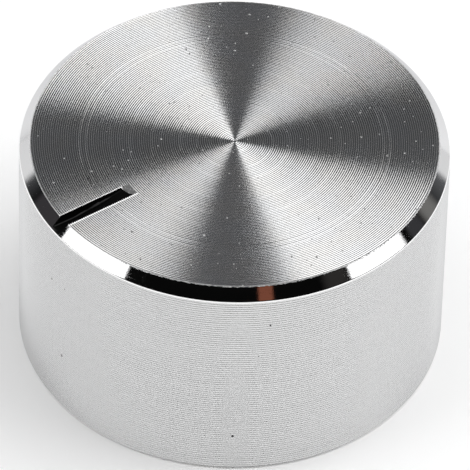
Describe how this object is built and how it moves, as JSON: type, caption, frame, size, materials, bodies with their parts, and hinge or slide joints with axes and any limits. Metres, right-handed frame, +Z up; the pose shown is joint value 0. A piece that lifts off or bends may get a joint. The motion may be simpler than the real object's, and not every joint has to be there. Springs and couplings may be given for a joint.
{
  "type": "potentiometer knob",
  "caption": "Round turned aluminium control knob with a polished chamfer and a black sawn pointer slot, held on a 6 mm shaft by a grub screw.",
  "frame": {"origin": "centre of the knob's base plane, on the axis of the shaft bore", "axes": "+Z up along the shaft bore, from the open side to the face; the pointer slot points along -Y and the grub screw is on the +Y side"},
  "size_m": [0.03, 0.03, 0.0173],
  "materials": {
    "turned_aluminium": "fine turning marks on the face and side, polished chamfer",
    "black_lacquer": "gloss black lacquer in the pointer slot",
    "blackened_steel": "black oxide"
  },
  "bodies": {
    "root": {"knob_body": "turned_aluminium", "pointer_lacquer": "black_lacquer", "grub_screw": "blackened_steel"}
  },
  "joints": []
}
